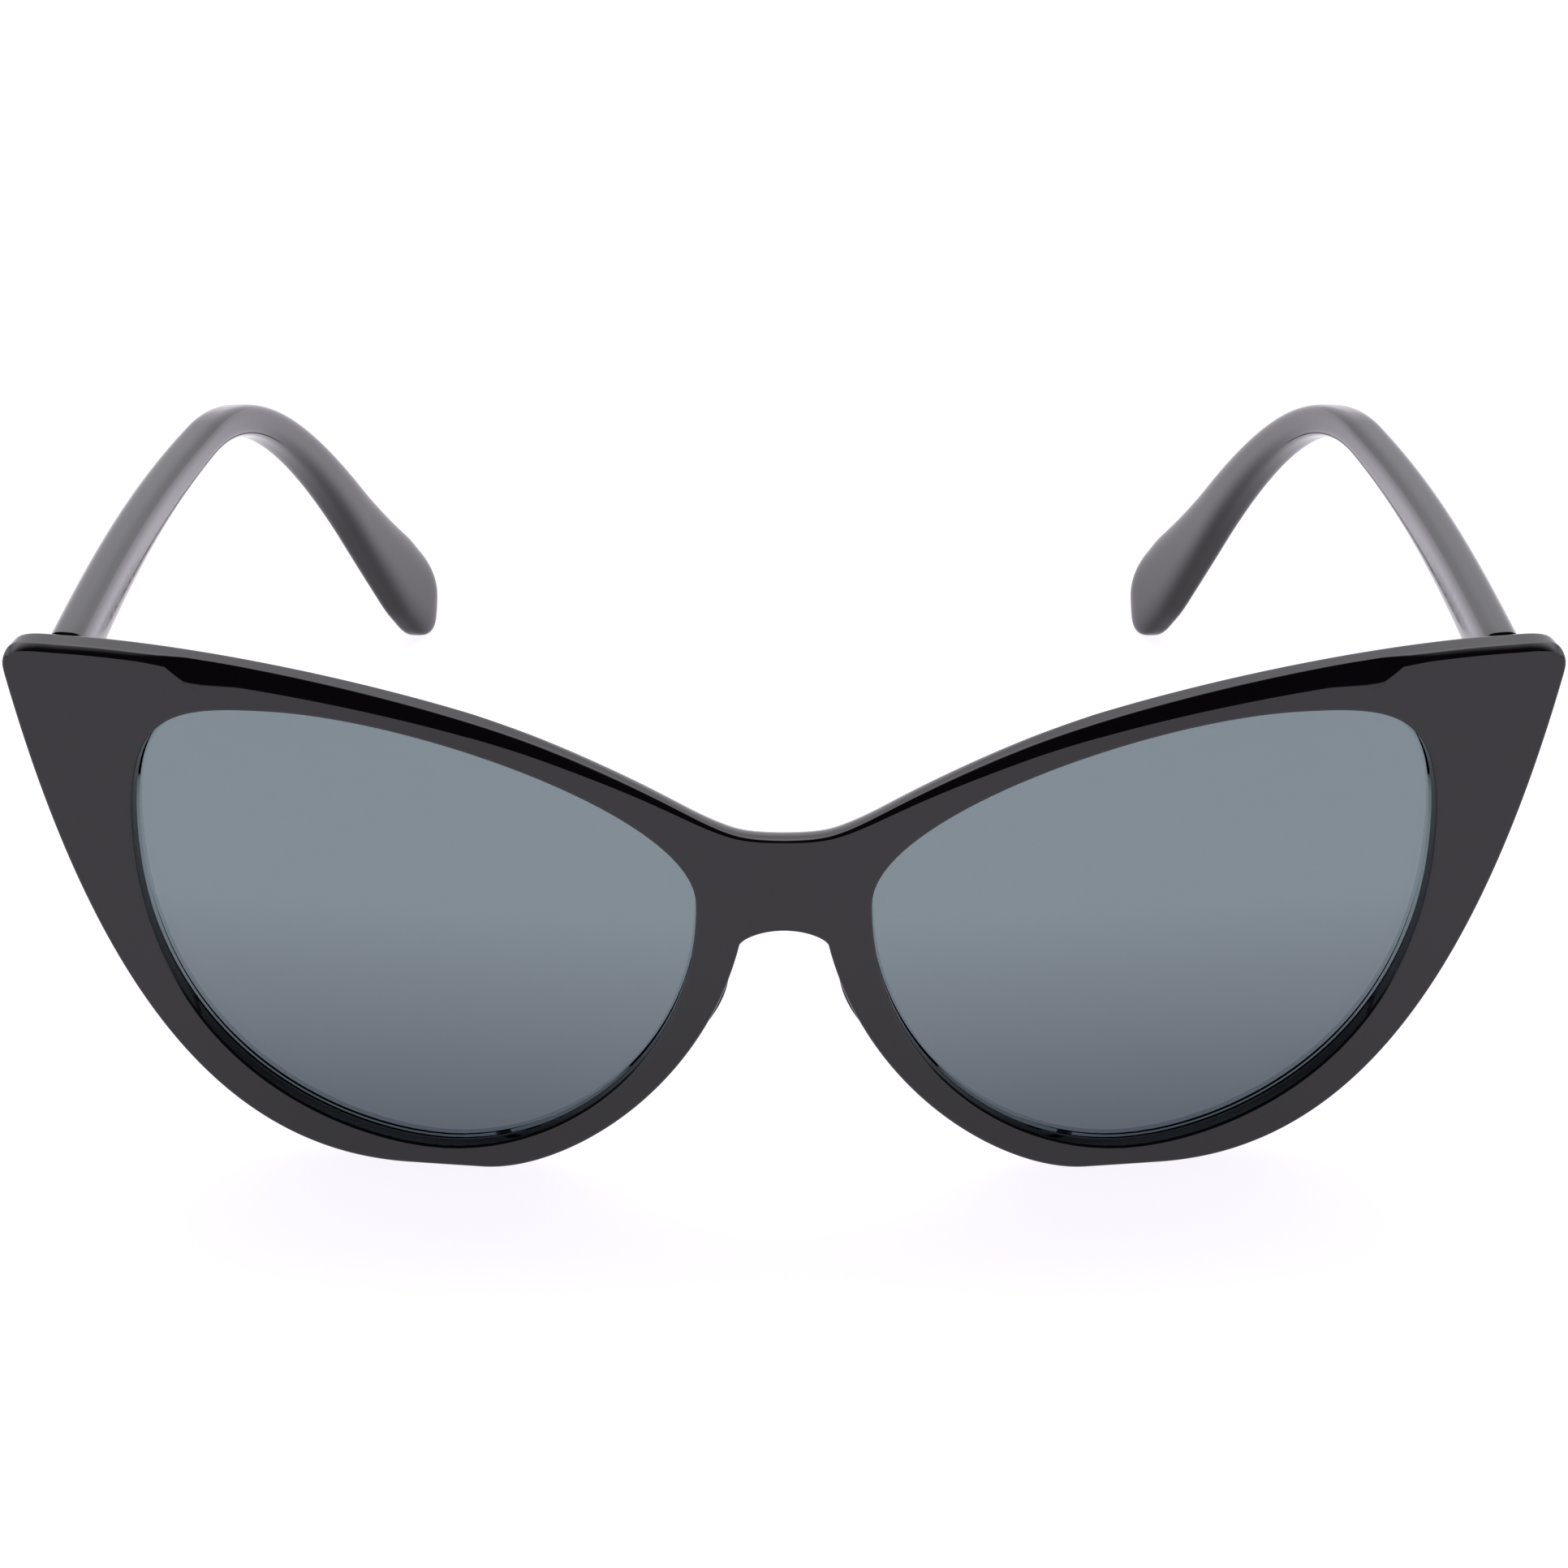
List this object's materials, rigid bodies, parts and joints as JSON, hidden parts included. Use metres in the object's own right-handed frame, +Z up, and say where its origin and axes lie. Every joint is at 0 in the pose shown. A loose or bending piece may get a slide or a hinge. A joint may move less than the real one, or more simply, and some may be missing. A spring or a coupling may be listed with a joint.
{
  "type": "cat eye sunglasses",
  "caption": "Cat eye sunglasses with a one-piece upswept front, smoke tinted lenses and temples that fold inwards on three-barrel hinges.",
  "frame": {"origin": "on the surface the open sunglasses stand on, under the middle of their box", "axes": "+X towards the wearer's left, +Y from the front towards the ears, +Z up"},
  "size_m": [0.15, 0.149, 0.0536],
  "materials": {
    "front_acetate": "polished black acetate",
    "smoke_lens": "smoke tinted, polished, slightly darker towards the bottom",
    "pad_acetate": "polished black acetate",
    "temple_acetate": "polished black acetate",
    "core_wire": "drawn wire",
    "hinge_steel": "tumbled nickel silver",
    "screw_steel": "plated steel"
  },
  "bodies": {
    "front": {"front_frame": "front_acetate", "lens_right": "smoke_lens", "lens_left": "smoke_lens", "nose_pad_right": "pad_acetate", "nose_pad_left": "pad_acetate", "front_hinge_leaf_right": "hinge_steel", "front_hinge_leaf_left": "hinge_steel", "hinge_screw_right": "screw_steel", "hinge_screw_left": "screw_steel", "hinge_nut_right": "screw_steel", "hinge_nut_left": "screw_steel", "leaf_screw_right_1": "screw_steel", "leaf_screw_right_2": "screw_steel", "leaf_screw_left_1": "screw_steel", "leaf_screw_left_2": "screw_steel"},
    "right_temple": {"temple_right": "temple_acetate", "temple_core_wire_right": "core_wire", "temple_hinge_leaf_right": "hinge_steel"},
    "left_temple": {"temple_left": "temple_acetate", "temple_core_wire_left": "core_wire", "temple_hinge_leaf_left": "hinge_steel"}
  },
  "joints": [
    {"name": "right_temple_fold", "type": "hinge", "parent": "front", "child": "right_temple", "pos_m": [-0.0654, -0.06061, 0.0492], "axis": [0, 0, -1], "range_deg": [0, 79]},
    {"name": "left_temple_fold", "type": "hinge", "parent": "front", "child": "left_temple", "pos_m": [0.0654, -0.06061, 0.0492], "axis": [0, 0, 1], "range_deg": [0, 68]}
  ]
}
